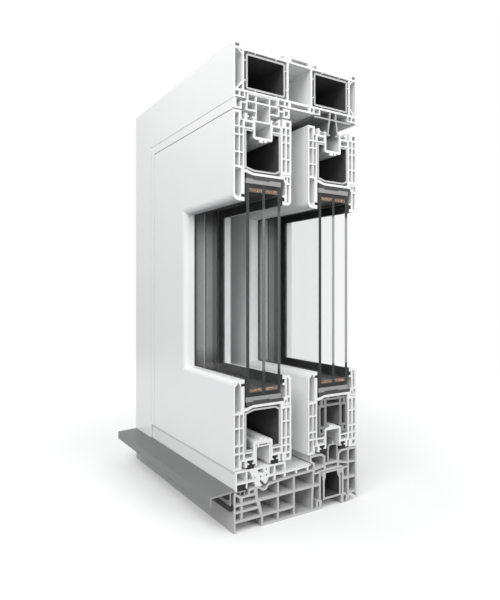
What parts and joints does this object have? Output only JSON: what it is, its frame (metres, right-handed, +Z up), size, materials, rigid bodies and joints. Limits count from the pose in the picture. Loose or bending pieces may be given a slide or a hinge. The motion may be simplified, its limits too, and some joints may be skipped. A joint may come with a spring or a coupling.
{
  "type": "lift-and-slide patio door corner sample",
  "caption": "Cutaway corner of a lift-and-slide patio door: white multi-chamber frame, fixed and sliding glazed leaves, grey threshold with running rail and exterior sill.",
  "frame": {"origin": "centre of the footprint, on the surface the sample stands on", "axes": "+Z up; the exterior face looks along -Y, the room side along +Y; the sectioned cut face looks along +X and the jamb's outer face along -X"},
  "size_m": [0.3046, 0.221, 0.557],
  "materials": {
    "pvc_white": "smooth satin-gloss white extrusion",
    "threshold_grey": "light grey extrusion",
    "steel": "galvanised steel",
    "aluminium": "mill finish",
    "sill_grey": "satin grey",
    "rubber": "black sealing rubber",
    "glass": "clear, faintly green at the edges",
    "spacer": "dark spacer bar",
    "desiccant": "fine orange-brown grains",
    "edge_seal": "dark sealant",
    "packer": "grey plastic",
    "bridge": "dark grey plastic",
    "core_grey": "grey filled plastic"
  },
  "bodies": {
    "frame_and_fixed_leaf": {"outer_frame": "pvc_white", "head_steels": "steel", "jamb_steels": "steel", "head_infill": "pvc_white", "jamb_infill": "pvc_white", "threshold_body": "threshold_grey", "threshold_steel": "steel", "threshold_clip": "pvc_white", "threshold_cover": "pvc_white", "running_rail": "aluminium", "exterior_sill": "sill_grey", "threshold_seal": "rubber", "sill_gaskets": "rubber", "head_guide": "aluminium", "fixed_sash": "pvc_white", "fixed_outer_gasket": "rubber", "fixed_inner_gasket": "rubber", "fixed_beads": "pvc_white", "fixed_panes": "glass", "fixed_spacers": "spacer", "fixed_desiccant": "desiccant", "fixed_edge_seals": "edge_seal", "fixed_packers": "packer", "fixed_bridges": "bridge", "fixed_steels": "steel", "fixed_bottom_seals": "rubber", "fixed_groove_insert": "pvc_white"},
    "sliding_leaf": {"sliding_sash": "pvc_white", "sliding_outer_gasket": "rubber", "sliding_inner_gasket": "rubber", "sliding_beads": "pvc_white", "sliding_panes": "glass", "sliding_spacers": "spacer", "sliding_desiccant": "desiccant", "sliding_edge_seals": "edge_seal", "sliding_packers": "packer", "sliding_bridges": "bridge", "sliding_steels": "steel", "sliding_bottom_seals": "rubber", "sliding_core": "core_grey"}
  },
  "joints": [
    {"name": "leaf_slide", "type": "slide", "parent": "frame_and_fixed_leaf", "child": "sliding_leaf", "axis": [1, 0, 0], "range_m": [0, 0.11]}
  ]
}
